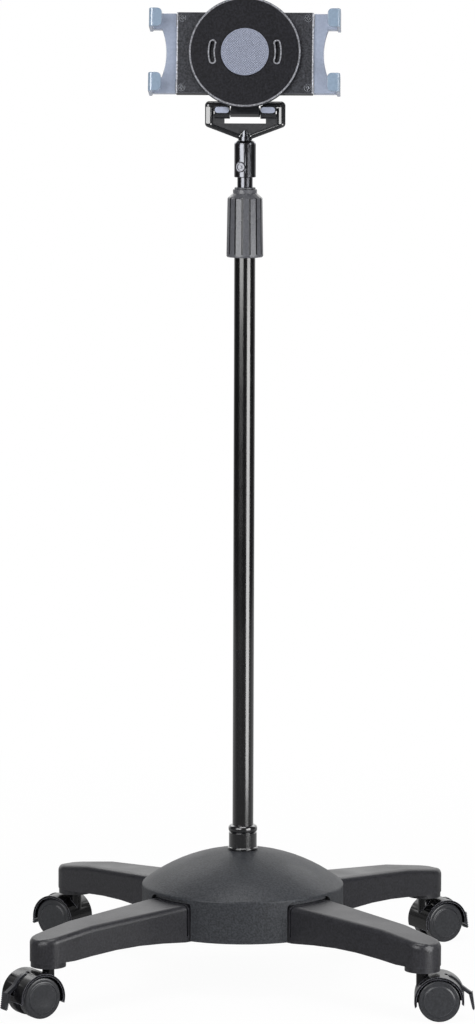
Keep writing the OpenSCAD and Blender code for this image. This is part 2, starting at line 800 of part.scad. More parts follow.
module head_socket() {
    color("#2c2d31")
    difference() {
        rotate_extrude() polygon(concat(
            [[0, socket_low_z], [socket_d / 2 - 0.6, socket_low_z], [socket_d / 2, socket_low_z + 0.6]],
            arc([socket_d / 2 - socket_round, socket_top_z - socket_round], socket_round, 0, 90, 6),
            [[0, socket_top_z]]
        ));
        translate([0, 0, socket_low_z - cut]) cylinder(d = rod_d + 2 * snug, h = rod_in_socket + cut);
        translate([0, 0, socket_top_z - pan_pin_h])
            cylinder(d = pan_pin_d + 2 * run_fit, h = pan_pin_h + cut);
        at_clamp_screw() {
            cylinder(d = screw_d + 2 * snug, h = socket_d);
            translate([0, 0, socket_d / 2 - 1.2]) cylinder(d = screw_head_d + 0.6, h = socket_d);
        }
    }
}

// The clamp screw's axis, square to the rod
module at_clamp_screw() {
    translate([0, 0, socket_low_z + screw_rise]) rotate(screw_angle) rotate([0, 90, 0]) children();
}

module socket_screw() {
    seat = socket_d / 2 - 1.2;
    color("#b9bcc2")
    at_clamp_screw() difference() {
        union() {
            translate([0, 0, rod_d / 2 + snug]) cylinder(d = screw_d, h = seat - rod_d / 2);
            translate([0, 0, seat]) cylinder(d1 = screw_head_d, d2 = screw_head_d - 1.6, h = screw_head_h);
        }
        translate([0, 0, seat + 0.6]) tube(screw_head_d * 0.66, screw_head_d * 0.3, screw_head_h);
    }
}

module at_hinge() {
    translate([0, 0, hinge_z]) children();
}

module yoke_panel() {
    facing(-yoke_panel_t / 2, yoke_panel_t) difference() {
        polygon([[rim_x, rim_top], [rim_x, rim_low], rim_foot, [-rim_foot[0], rim_foot[1]],
                 [-rim_x, rim_low], [-rim_x, rim_top]]);
        translate([-ear_in, window_top]) square([2 * ear_in, 2 * yoke_top - window_top]);
        translate([-window_w / 2, window_top - window_h]) square([window_w, window_h + snug]);
    }
}

// The post's round foot and pointed top, grown by a margin for its seat in the yoke
module post_form(margin) {
    translate([0, 0, post_low]) cylinder(d = post_d + 2 * margin, h = tip_z - post_low);
    translate([0, 0, tip_z])
        cylinder(d1 = post_d + 2 * margin, d2 = 1.6 + 2 * margin, h = post_d / 2 + margin);
}

module yoke_post() {
    color("#2c2d31")
    at_hinge() {
        post_form(0);
        translate([0, 0, post_low - pan_pin_h + 2 * air]) cylinder(d = pan_pin_d, h = pan_pin_h);
    }
}

module yoke() {
    knuckle = yoke_rim_d + 0.1;
    slope = ([rim_x, rim_low] - rim_foot) / norm([rim_x, rim_low] - rim_foot);
    shift = (yoke_rim_d - foot_d) / 2;
    color("#25262a")
    at_hinge() difference() {
        union() {
            yoke_panel();
            for (s = [-1, 1]) {
                bar_xz([s * (ear_in + 2), rim_top], [s * rim_x, rim_top], yoke_rim_d);
                bar_xz([s * rim_x, rim_low], [s * rim_x, rim_top], yoke_rim_d);
                bar_xz([s * rim_foot[0], rim_foot[1]],
                       [s * (rim_x + shift * slope[1]), rim_low - shift * slope[0]], foot_d);
                for (z = [rim_low, rim_top]) translate([s * rim_x, 0, z]) sphere(d = knuckle);
                translate([s * (ear_in + ear_out) / 2, 0, 0]) bar_x(ear_d, ear_out - ear_in);
            }
        }
        bar_x(pin_d + 2 * snug, 2 * ear_out + 2 * cut);
        post_form(snug);
    }
}

module hinge_pin() {
    color("#b4b7bc")
    at_hinge() bar_x(pin_d, 2 * ear_out);
}

module hinge_caps() {
    cap_z = 3;
    cap_front = ear_d / 2 + 2.6;
    cap_back = rim_r + 0.05;
    color("#a6adbe")
    at_hinge() for (s = [-1, 1]) difference() {
        translate([s * (ear_in + 0.5 + cap_len / 2), 0, cap_z])
            facing(cap_back, cap_front - cap_back) rounded_rect(cap_len, cap_h, cap_h / 2 - 0.05);
        bar_x(ear_d + 2 * snug, 2 * ear_out + 2 * cut);
    }
}

// Everything that tilts is drawn upright round the tilt axis and then laid back
module tilted() {
    at_hinge() rotate([-rest_tilt, 0, 0]) children();
}

module at_disc() {
    tilted() translate([0, 0, hinge_to_disc]) children();
}

module tilt_bracket() {
    plate_n = bracket_off + bracket_t;
    neck_w = barrel_len - 2;
    knuckle = barrel_d / 2;
    color("#232327")
    tilted() difference() {
        union() {
            bar_x(barrel_d, barrel_len);
            rotate([90, 0, 90]) linear_extrude(neck_w, center = true) polygon([
                [0, knuckle - 0.2], [-bracket_off, knuckle + 5], [-bracket_off, hinge_to_disc],
                [-plate_n, hinge_to_disc], [-plate_n, -knuckle + 1.2], [-plate_n + 1.2, -knuckle + 0.2],
                [0, -knuckle + 0.2]
            ]);
            translate([0, 0, hinge_to_disc]) facing(bracket_off, bracket_t) circle(d = bracket_d);
        }
        bar_x(pin_d + 2 * run_fit, barrel_len + 2 * cut);
        translate([0, 0, hinge_to_disc]) facing(bracket_off - cut, bracket_t + 2 * cut)
            circle(d = turn_bolt_d + 2 * run_fit);
    }
}

module turn_washer() {
    color("#c9c9c4")
    at_disc() facing(bracket_off + bracket_t, washer_gap) difference() {
        circle(d = bracket_d - 8);
        circle(d = turn_bolt_d + 2 * run_fit + 0.4);
    }
}

module turn_bolt() {
    head_d = turn_bolt_d + 8;
    head_h = 2.4;
    color("#8c8f94")
    at_disc() {
        facing(bracket_off - air - head_h, head_h) difference() {
            circle(d = head_d);
            circle(d = turn_bolt_d - 4, $fn = 6);
        }
        facing(bracket_off - air, front_n - bracket_off) circle(d = turn_bolt_d);
        facing(bracket_off - air - 1, 1) circle(d = turn_bolt_d);
    }
}

// Holder

module screw_corners() {
    for (x = [-1, 1], z = [-1, 1])
        translate([x * (holder_w / 2 - corner_inset), 0, z * (holder_h / 2 - corner_inset)]) children();
}

module holder_back() {
    color("#2e2f33")
    at_disc() difference() {
        facing(back_n, front_n - back_n) rounded_rect(holder_w, holder_h, holder_round);
        for (s = [-1, 1]) translate([s * (holder_w / 2 + hub_half + cut) / 2, 0, 0])
            facing(back_n + back_t, front_n)
                square([holder_w / 2 - hub_half + cut, tongue_h + 2 * air], center = true);
        translate([0, 0, spring_u]) facing(arm_n - air, front_n)
            square([2 * hub_half + 2 * cut, spring_d + 4 * air], center = true);
        facing(back_n - cut, front_n) circle(d = turn_bolt_d + 2 * snug);
        screw_corners() facing(back_n + 1.5, front_n) circle(d = corner_screw_d + 2 * snug);
    }
}

module holder_front() {
    side = holder_w / 2;
    round_n = face_n - side_round;
    color("#48494e")
    at_disc() difference() {
        linear_extrude(holder_h, center = true) mirror([0, 1]) polygon(concat(
            [[-side, front_n], [side, front_n]],
            arc([side - side_round, round_n], side_round, 0, 90, 5),
            arc([side_round - side, round_n], side_round, 90, 180, 5)
        ));
        screw_corners() {
            facing(front_n - cut, front_t + 2 * cut) circle(d = corner_screw_d + 0.4);
            facing(face_n - corner_head_h - 0.3, front_t) circle(d = corner_head_d + 0.6);
        }
    }
}

module holder_screws() {
    seat_n = face_n - corner_head_h - 0.3;
    color("#7d8087")
    at_disc() screw_corners() {
        facing(back_n + 2, seat_n - back_n - 2) circle(d = corner_screw_d);
        facing(seat_n, corner_head_h) difference() {
            circle(d = corner_head_d);
            for (a = [0, 90]) rotate(a) square([4, 0.9], center = true);
        }
    }
}

// The right arm, drawn on the +X side and mirrored for the left
module arm() {
    out_w = arm_end - arm_start;
    body_n = back_n;
    body_t = arm_n + tongue_t - body_n;
    hook_over = 1.6;
    hook_z = arm_h / 2 - hook_h / 2 + hook_over;
    hook_round = 5;
    facing(arm_n, tongue_t)
        translate([tongue_in, -tongue_h / 2]) square([arm_start - tongue_in + 1, tongue_h]);
    facing(body_n, body_t) difference() {
        translate([arm_start, -arm_h / 2]) square([out_w - 1, arm_h]);
        intersection() {
            translate([holder_w / 2 + arm_waist + waist_r, 0]) circle(waist_r, $fn = 96);
            square([2 * arm_end + 2 * cut, 2 * waist_half], center = true);
        }
    }
    for (s = [-1, 1]) translate([0, 0, s * hook_z]) intersection() {
        linear_extrude(hook_h, center = true) mirror([0, 1]) polygon(concat(
            [[arm_end - hook_wall, body_n], [arm_end, body_n]],
            arc([arm_end - hook_bend, lip_n + lip_t - hook_bend], hook_bend, 0, 90, 6),
            [[arm_end - hook_lip, lip_n + lip_t], [arm_end - hook_lip, lip_n], [arm_end - hook_wall, lip_n]]
        ));
        facing(body_n - cut, lip_n + lip_t - body_n + 2 * cut) {
            translate([arm_end - hook_lip + hook_round, -hook_h])
                square([hook_lip, 2 * hook_h]);
            translate([arm_end - hook_lip + hook_round, 0]) {
                square([2 * hook_round, hook_h - 2 * hook_round], center = true);
                for (z = [-1, 1]) translate([0, z * (hook_h / 2 - hook_round)]) circle(hook_round);
            }
        }
    }
}

module arm_right() {
    color("#b4bccb") at_disc() arm();
}

module arm_left() {
    color("#b4bccb") at_disc() mirror([1, 0, 0]) arm();
}

module arm_spring() {
    color("#9a9da2")
    at_disc() translate([0, -arm_n - tongue_t / 2, spring_u]) bar_x(spring_d, 2 * (tongue_in - air));
}

// Outline of a curved slot, grown on every side by a margin
module slot_outline(margin) {
    half_a = 15.5;
    w = slot_w + 2 * margin;
    for (side = [0, 180]) rotate(side) {
        difference() {
            circle(slot_r + w / 2);
            circle(slot_r - w / 2);
            for (s = [-1, 1]) rotate(s * half_a) translate([-slot_r * 2, s > 0 ? 0 : -slot_r * 4])
                square(slot_r * 4);
        }
        for (s = [-1, 1]) translate(polar(slot_r, s * half_a)) circle(w / 2);
    }
}

module front_disc() {
    bead = 1.2;
    lip_w = 1.5;
    lip_rise = 0.7;
    color("#333338")
    at_disc() difference() {
        union() {
            translate([0, -face_n, 0]) rotate([90, 0, 0]) rotate_extrude($fn = 96) polygon(concat(
                [[0, 0], [disc_d / 2, 0]],
                arc([disc_d / 2 - bead, disc_t + lip_rise - bead], bead, 0, 150, 8),
                [[disc_d / 2 - 2.2 * bead, disc_t], [0, disc_t]]
            ));
            facing(face_n, disc_t + lip_rise) slot_outline(lip_w);
        }
        facing(face_n - cut, disc_t + 2 * cut) slot_outline(0);
        facing(disc_n - pad_sunk, disc_t) circle(d = pad_d + 0.4);
    }
}

module grip_pad() {
    t = pad_rise + pad_sunk;
    edge = 0.5;
    color("#9499a8")
    at_disc() translate([0, -disc_n + pad_sunk, 0]) rotate([90, 0, 0])
        rotate_extrude() polygon([
            [0, 0], [pad_d / 2, 0], [pad_d / 2, t - edge], [pad_d / 2 - edge, t], [0, t]
        ]);
}

hub_core();
hub_cover();
leg_bolts();
stem_sleeves();
pole_ferrule();
pole_plug();
pole_nut();
pole();
clutch_base();
clutch_collet();
clutch_grip();
rod();
rod_bush();
head_socket();
socket_screw();
yoke();
yoke_post();
hinge_pin();
hinge_caps();
tilt_bracket();
turn_washer();
turn_bolt();
holder_back();
holder_front();
holder_screws();
arm_left();
arm_right();
arm_spring();
front_disc();
grip_pad();
for (i = [0:3]) {
    leg(i);
    caster_stem(i);
    caster_body(i);
    axle(i);
    wheel_a(i);
    wheel_b(i);
    brake_lever(i);
}
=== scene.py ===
"""Dresses a rolling tablet floor stand: moulded edges, finishes, studio floor, light and camera."""

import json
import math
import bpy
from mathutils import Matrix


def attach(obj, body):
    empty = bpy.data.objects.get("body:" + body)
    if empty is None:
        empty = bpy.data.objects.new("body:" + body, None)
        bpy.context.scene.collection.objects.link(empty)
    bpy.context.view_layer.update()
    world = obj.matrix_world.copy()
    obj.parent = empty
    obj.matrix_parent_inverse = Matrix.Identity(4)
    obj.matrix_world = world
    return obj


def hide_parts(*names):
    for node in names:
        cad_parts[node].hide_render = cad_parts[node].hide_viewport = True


bl_info = {
    "name": "Tablet floor stand",
    "version": (1, 0, 0),
    "blender": (4, 5, 0),
    "location": "View3D > Sidebar > Stand",
    "description": "Rounds, finishes and photographs the parts of a rolling tablet floor stand",
    "category": "Object",
}

import bpy
from mathutils import Matrix, Vector

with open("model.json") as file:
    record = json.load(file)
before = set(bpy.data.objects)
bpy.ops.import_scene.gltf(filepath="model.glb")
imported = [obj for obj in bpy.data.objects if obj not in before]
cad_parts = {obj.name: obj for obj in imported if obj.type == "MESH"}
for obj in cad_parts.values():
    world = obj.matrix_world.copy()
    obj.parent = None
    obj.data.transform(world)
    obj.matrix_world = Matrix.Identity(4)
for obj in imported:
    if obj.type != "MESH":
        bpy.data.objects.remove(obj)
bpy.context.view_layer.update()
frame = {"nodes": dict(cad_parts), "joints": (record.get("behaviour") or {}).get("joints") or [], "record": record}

MM = 0.001
CORNERS = ("front_left", "front_right", "rear_left", "rear_right")
BODY_OF = {n: body for body, nodes in frame["record"]["behaviour"]["bodies"].items() for n in nodes}
SLOT_OF = {s["node"]: s["material_slot"] for s in frame["record"]["subparts"]}
JOINTS = {j["name"]: j for j in frame["joints"]}
# The holder's normal, which is the axis it turns on
FACING = Vector(JOINTS["holder_turn"]["axis"])
SIDEWAYS = Vector((1, 0, 0))
UPWARD = Vector((0, 0, 1))

# Shares of a noise texture that are spread over a finish's tones and over its gloss
SPECKLE_SPAN = {"From Min": 0.34, "From Max": 0.66}
DRIFT_SPAN = {"From Min": 0.3, "From Max": 0.7}
PLASTIC_IOR = 1.5
# Sockets of a mix of tones: its share, its two tones and what comes out; then its settings
SHARE, FIRST, SECOND, MIXED = 0, 6, 7, 2
TONES = {"data_type": "RGBA"}
TONES_TIMES = {"data_type": "RGBA", "blend_type": "MULTIPLY"}
# Spacing of a moulded gloss's slow drift, and how far its roughness drifts each way
DRIFT_SPACING = 45 * MM
GLOSS_DRIFT = 0.05
# Height of a moulded grain, in spacings
GRAIN_RISE = 0.2
# Half the width over which one tone runs into the next
ZONE_BLEND = 0.25 * MM
# How far the painted light on a corner reaches, a painted highlight where the gain is above one and a painted
# shade where it is below, and the cosines between which it counts as a corner
CORNER_LIGHT_RADIUS = 0.9 * MM
CORNER_LIGHT_SPAN = {"From Min": 0.99, "From Max": 0.85}
# How wide a hollow is darkened by painted shade, and the openness over which the painted shade thins out
HOLLOW_SHADE_REACH = 2.5 * MM
HOLLOW_SHADE_SPAN = {"From Min": 0.5, "From Max": 0.95}
# Where the yoke's enamel begins and is full, above its panel, and the spacing of the panel's sand
RIM_BEGIN = 0.1 * MM
RIM_FULL = 0.7 * MM
SAND_SPACING = 1.6 * MM
# Spacing of the pole coat's orange peel and of its slow drift, and of the plating's polishing lines
PEEL_SPACING = 3.5 * MM
COAT_DRIFT_SPACING = 60 * MM
POLISH_SPACING = 0.8 * MM

# In a solid's mesh, points closer than this are one, and so are faces that turn by fewer degrees
MERGE_GAP = 0.004 * MM
FLAT_TURN = 0.4
# Degrees of turn from which an edge is rounded, and from which it is drawn sharp
EDGE_TURN = 38
SMOOTH_TURN = 34
EDGE_SEGMENTS = 3
# Neighbours on the grip that turn by fewer degrees make one flat land
LAND_TURN = 14

# Flats on the yoke's upright bars: side, degrees away from the front, share of the full width
YOKE_FLATS = ((-1, -18, 1.0), (1, -9, 0.45))
# Middle of a flat below the yoke's top and half its length, in radii of the bar
FLAT_DROP = 3.2
FLAT_REACH = 1.9
# Slope of the roof that the post's round neck ends in
ROOF_SLOPE = math.radians(48)
NECK_SIDES = 64

PAD_SIDES = 96
PAD_EDGE_TURN = 20
PAD_SMOOTH_TURN = 30
# The rows of studs run on the diagonal
PAD_TURN = math.radians(45)
# Half a stud's side in pitches; its foot's and its top's half diagonals, and its room, in half sides
STUD_SHARE = 0.4
STUD_FOOT = 1.4142
STUD_TOP = 0.85
STUD_ROOM = 1.5

FLOOR_SIZE = 5.2
# Each lamp's place, aim, width and height in metres, and its watts
LAMPS = {
    "left softbox": ((-1.36, -2.1, 0.93), (0, 0, 0.93), 1.9, 0.84, 20),
    "left top softbox": ((-1.35, -2.05, 2.09), (0, 0, 1.0), 1.8, 0.6, 21),
    "right strip": ((0.818, -0.736, 0.36), (0, 0, 0.36), 0.67, 0.72, 7.4),
    "right top softbox": ((1.93, -1.0, 1.75), (0, 0, 1.0), 0.8, 0.6, 7.5),
    "rear left softbox": ((-0.9, 1.5, 1.4), (0, 0, 0.1), 1.0, 0.6, 4),
    "rear right softbox": ((0.9, 1.5, 1.4), (0, 0, 0.1), 1.0, 0.6, 3),
    "overhead softbox": ((0, -0.3, 3.6), (0, 0, 0.2), 1.6, 1.6, 40),
}


def linear(code):
    """Turns an sRGB hex colour into linear light."""
    parts = [int(code[i:i + 2], 16) / 255 for i in (1, 3, 5)]
    return tuple(v / 12.92 if v <= 0.04045 else ((v + 0.055) / 1.055) ** 2.4 for v in parts)


def length(name, text, mm):
    return bpy.props.FloatProperty(
        name=name, description=text, default=mm * MM, min=0, unit="LENGTH")


def colour(name, text, code):
    return bpy.props.FloatVectorProperty(
        name=name, description=text, default=linear(code), size=3, min=0, max=1, subtype="COLOR")


class StandSizes(bpy.types.PropertyGroup):
    """Edge radii and pattern sizes."""

    fine_edge: length("Fine edge", "Radius left on small edges", 0.3)
    moulded_edge: length("Moulded edge", "Radius along the edges of legs, hoods and holder", 0.6)
    clip_edge: length("Clip edge", "Radius along the edges of the grey clip arms", 0.6)
    dome_edge: length("Dome edge", "Radius along the notches and the foot of the dome", 0.9)
    yoke_bar: length("Yoke bar", "Radius of the yoke's round bars", 4.5)
    post_neck: length("Post neck", "Radius of the bright neck that runs up into the yoke", 5.2)
    yoke_flat: length("Yoke flat", "Full width of a flat on the front of an upright bar", 4.4)
    yoke_panel: length("Yoke panel", "Thickness of the panel between the yoke's bars", 4.0)
    # The hooks' lips carry a painted shade from this depth back
    lip_shade_depth: length("Lip depth", "How far back the darker lips of the hooks reach", 3.2)
    # The plate's rounded sides carry a painted highlight over this width
    side_highlight_width: length("Side depth", "Width of the rubbed sides of the holder's plate", 1.4)
    # The disc's beads carry a painted highlight above this height
    bead_highlight_rise: length("Bead depth", "Height of the rubbed beads on the disc", 0.4)
    pad_pitch: length("Pad pitch", "Spacing of the studs on the grip pad", 1.8)
    pad_rim: length("Pad rim", "Width of the plain rim round the studs", 0.6)
    stud_rise: length("Stud rise", "Height of the studs", 0.4)
    # The studs' tops carry a painted highlight over this height
    stud_highlight_depth: length("Stud depth", "Height of the paler tops of the studs", 0.2)


class StandColours(bpy.types.PropertyGroup):
    """Colours of the main finishes."""

    leg: colour("Legs", "Grained plastic of the legs", "#27272b")
    dome: colour("Dome", "Grained powder coat of the hub cover", "#323438")
    pole: colour("Pole", "Gloss coat of the pole", "#0b0b0d")
    grip: colour("Grip", "Satin plastic of the twist grip", "#5b5c61")
    chrome: colour("Rod", "Dark plating of the rod and its socket", "#77787d")
    yoke: colour("Yoke", "Gloss enamel of the yoke", "#1d1e21")
    panel: colour("Yoke panel", "Grained panel inside the yoke's rim", "#26272b")
    plate: colour("Plate", "Textured plastic of the holder", "#35363b")
    disc: colour("Disc", "Textured plastic of the disc", "#1b1b20")
    # Painted highlight on the disc's beads
    bead: colour("Disc bead", "Rubbed bead round the disc and its slots", "#86878d")
    # Painted highlight on the plate's rounded sides
    plate_edge_highlight: colour("Plate edge", "Rubbed rounding along the plate's sides", "#c6c8ce")
    clip: colour("Clips", "Grey plastic of the clip arms", "#9ca5b8")
    # Painted shade on the hooks' lips
    clip_lip_shade: colour("Clip lips", "Darker grey of the hooks", "#8a9cb0")
    cap: colour("Hinge covers", "Grey plastic of the hinge covers", "#a8afc2")
    pad: colour("Pad", "Rubber between the studs of the pad", "#7b8194")
    # Painted highlight on the studs' tops
    stud: colour("Studs", "Paler tops of the pad's studs", "#9fa4b3")
    hood: colour("Hoods", "Gloss plastic of the caster hoods", "#0f0f11")
    wheel: colour("Wheels", "Nylon of the wheels", "#303134")


def add(tree, kind, inputs=None, **settings):
    """Adds a node with its settings; an input takes a value, or a link from another node's output."""
    made = tree.nodes.new("ShaderNode" + kind)
    for key, value in settings.items():
        setattr(made, key, value)
    for key, value in (inputs or {}).items():
        if isinstance(value, bpy.types.NodeSocket):
            tree.links.new(value, made.inputs[key])
        else:
            made.inputs[key].default_value = value
    return made


def tone_of(tone):
    """A tone by its hex code or by its name among the stand's colours."""
    if tone.startswith("#"):
        return linear(tone)
    return tuple(getattr(bpy.context.scene.stand_colours, tone))


def shade(tone, factor=1):
    return tuple(min(1.0, v * factor) for v in tone) + (1.0,)


def start(name):
    """A new material, its tree, and the place on the piece that its textures go by."""
    material = bpy.data.materials.new(name)
    material.use_nodes = True
    tree = material.node_tree
    tree.nodes.clear()
    return material, tree, add(tree, "TexCoord").outputs["Object"]


def moulded(name, tone, grain, contrast, rough, relief, level=0.5, edge=0.0, gain=4.0, crease=0.0,
            coat=0.0, zone=None):
    """A grained skin, as on moulded plastic: a fine speckle, slow drift in its gloss, corners whose tone changes
    by the factor called gain over the share called edge, as a painted highlight where gain is above one and a
    painted shade where it is below, and hollows darkened with painted shade by the share called crease. Grain is
    the spacing of the speckle in millimetres. A zone is a part, a direction, the size that says how far from the
    part's end along it a second tone reaches, and that tone; on the stand the zones paint highlights on beads,
    plate sides and stud tops, and shade on the hooks' lips."""
    material, tree, place = start(name)
    fine = add(tree, "TexNoise", {"Vector": place, "Scale": 1 / (grain * MM), "Detail": 2.0})
    slow = add(tree, "TexNoise", {"Vector": place, "Scale": 1 / DRIFT_SPACING, "Detail": 2.0})
    skin = shade(tone)
    # A second tone from a depth along a direction; the stand's zones paint highlights and shade with it
    if zone:
        node, direction, depth, second = zone
        begin = reach(node, direction)[1] - getattr(bpy.context.scene.stand_sizes, depth)
        along = add(tree, "VectorMath", {0: place, 1: direction}, operation="DOT_PRODUCT")
        along = add(tree, "Math", {0: along.outputs["Value"]}, operation="ABSOLUTE")
        share = add(tree, "MapRange", {"Value": along.outputs[0], "From Min": begin - ZONE_BLEND,
                                       "From Max": begin + ZONE_BLEND})
        skin = add(tree, "Mix", {SHARE: share.outputs["Result"], FIRST: skin,
                                 SECOND: shade(tone_of(second))}, **TONES).outputs[MIXED]
    speckle = add(tree, "MapRange", {"Value": fine.outputs["Fac"], **SPECKLE_SPAN,
                                     "To Min": 1 - contrast, "To Max": 1 + contrast})
    skin = add(tree, "Mix", {SHARE: 1.0, FIRST: skin, SECOND: speckle.outputs["Result"]},
               **TONES_TIMES).outputs[MIXED]
    # Corners: a painted highlight, or a painted shade where the gain is below one
    if edge:
        corner = add(tree, "Bevel", {"Radius": CORNER_LIGHT_RADIUS}, samples=4)
        face = add(tree, "NewGeometry")
        turn = add(tree, "VectorMath", {0: corner.outputs["Normal"], 1: face.outputs["Normal"]},
                   operation="DOT_PRODUCT")
        light_painted = add(tree, "MapRange", {"Value": turn.outputs["Value"], **CORNER_LIGHT_SPAN, "To Max": edge})
        skin = add(tree, "Mix", {SHARE: light_painted.outputs["Result"], FIRST: skin,
                                 SECOND: shade(tone, gain)}, **TONES).outputs[MIXED]
    # Painted shade in hollows, found from ambient occlusion
    if crease:
        hollow = add(tree, "AmbientOcclusion", {"Distance": HOLLOW_SHADE_REACH}, samples=8, only_local=True)
        hollow_shade = add(tree, "MapRange", {"Value": hollow.outputs["AO"], **HOLLOW_SHADE_SPAN,
                                      "To Min": 1 - crease})
        skin = add(tree, "Mix", {SHARE: 1.0, FIRST: skin, SECOND: hollow_shade.outputs["Result"]},
                   **TONES_TIMES).outputs[MIXED]
    gloss = add(tree, "MapRange", {"Value": slow.outputs["Fac"], **DRIFT_SPAN,
                                   "To Min": rough - GLOSS_DRIFT, "To Max": rough + GLOSS_DRIFT})
    bump = add(tree, "Bump", {"Height": fine.outputs["Fac"], "Strength": relief,
                              "Distance": grain * MM * GRAIN_RISE})
    surface = add(tree, "BsdfPrincipled", {
        "Base Color": skin, "Roughness": gloss.outputs["Result"],
        "Normal": bump.outputs["Normal"], "Specular IOR Level": level, "IOR": PLASTIC_IOR,
        "Coat Weight": coat, "Coat Roughness": 0.1})
    add(tree, "OutputMaterial", {"Surface": surface.outputs["BSDF"]})
    return material


def enamelled(name, tone, panel):
    """Zinc casting: its round rims carry a mirror-like black enamel, and the sunk panel between
    them, up to half its thickness from the middle plane, is left with a dull sandy grain."""
    material, tree, place = start(name)
    half = bpy.context.scene.stand_sizes.yoke_panel / 2
    fine = add(tree, "TexNoise", {"Vector": place, "Scale": 1 / SAND_SPACING, "Detail": 2.0})
    axes = add(tree, "SeparateXYZ", {"Vector": place})
    depth = add(tree, "Math", {0: axes.outputs["Y"]}, operation="ABSOLUTE")
    rim = add(tree, "MapRange", {"Value": depth.outputs[0], "From Min": half + RIM_BEGIN,
                                 "From Max": half + RIM_FULL}).outputs["Result"]
    sandy = add(tree, "MapRange", {"Value": fine.outputs["Fac"], **SPECKLE_SPAN,
                                   "To Min": 0.6, "To Max": 1.4})
    grained = add(tree, "Mix", {SHARE: 1.0, FIRST: shade(tone_of(panel)),
                                SECOND: sandy.outputs["Result"]}, **TONES_TIMES)
    both = add(tree, "Mix", {SHARE: rim, FIRST: grained.outputs[MIXED], SECOND: shade(tone)}, **TONES)
    gloss = add(tree, "MapRange", {"Value": rim, "To Min": 0.5, "To Max": 0.2})
    relief = add(tree, "MapRange", {"Value": rim, "To Min": 0.5, "To Max": 0.02})
    bump = add(tree, "Bump", {"Height": fine.outputs["Fac"], "Strength": relief.outputs["Result"],
                              "Distance": 0.3 * MM})
    surface = add(tree, "BsdfPrincipled", {
        "Base Color": both.outputs[MIXED], "Roughness": gloss.outputs["Result"],
        "Normal": bump.outputs["Normal"], "Specular IOR Level": 0.8, "IOR": PLASTIC_IOR,
        "Coat Weight": rim, "Coat IOR": 1.9, "Coat Roughness": 0.08})
    add(tree, "OutputMaterial", {"Surface": surface.outputs["BSDF"]})
    return material


def coated(name, tone, rough, level):
    """Gloss coat on steel: mirror-like, with the slight orange peel of a sprayed film."""
    material, tree, place = start(name)
    peel = add(tree, "TexNoise", {"Vector": place, "Scale": 1 / PEEL_SPACING, "Detail": 1.0})
    slow = add(tree, "TexNoise", {"Vector": place, "Scale": 1 / COAT_DRIFT_SPACING, "Detail": 3.0})
    tint = add(tree, "Mix", {SHARE: slow.outputs["Fac"], FIRST: shade(tone, 0.8),
                             SECOND: shade(tone, 1.25)}, **TONES)
    gloss = add(tree, "MapRange", {"Value": slow.outputs["Fac"], **DRIFT_SPAN,
                                   "To Min": rough * 0.8, "To Max": rough * 1.25})
    bump = add(tree, "Bump", {"Height": peel.outputs["Fac"], "Strength": 0.12,
                              "Distance": 0.02 * MM})
    surface = add(tree, "BsdfPrincipled", {
        "Base Color": tint.outputs[MIXED], "Roughness": gloss.outputs["Result"],
        "Normal": bump.outputs["Normal"], "Specular IOR Level": level, "IOR": PLASTIC_IOR,
        "Coat Weight": 1.0, "Coat Roughness": 0.1})
    add(tree, "OutputMaterial", {"Surface": surface.outputs["BSDF"]})
    return material


def plated(name, tone, rough, stretch):
    """Plated steel: a metal mirror drawn out along its length by fine polishing lines."""
    material, tree, place = start(name)
    drawn = add(tree, "Mapping", {"Vector": place, "Scale": stretch})
    lines = add(tree, "TexNoise", {"Vector": drawn.outputs["Vector"], "Scale": 1 / POLISH_SPACING,
                                   "Detail": 3.0})
    tint = add(tree, "Mix", {SHARE: lines.outputs["Fac"], FIRST: shade(tone, 0.82),
                             SECOND: shade(tone, 1.18)}, **TONES)
    gloss = add(tree, "MapRange", {"Value": lines.outputs["Fac"], **DRIFT_SPAN,
                                   "To Min": rough * 0.75, "To Max": rough * 1.3})
    bump = add(tree, "Bump", {"Height": lines.outputs["Fac"], "Strength": 0.08,
                              "Distance": 0.02 * MM})
    surface = add(tree, "BsdfPrincipled", {
        "Base Color": tint.outputs[MIXED], "Roughness": gloss.outputs["Result"],
        "Metallic": 1.0, "Normal": bump.outputs["Normal"]})
    add(tree, "OutputMaterial", {"Surface": surface.outputs["BSDF"]})
    return material


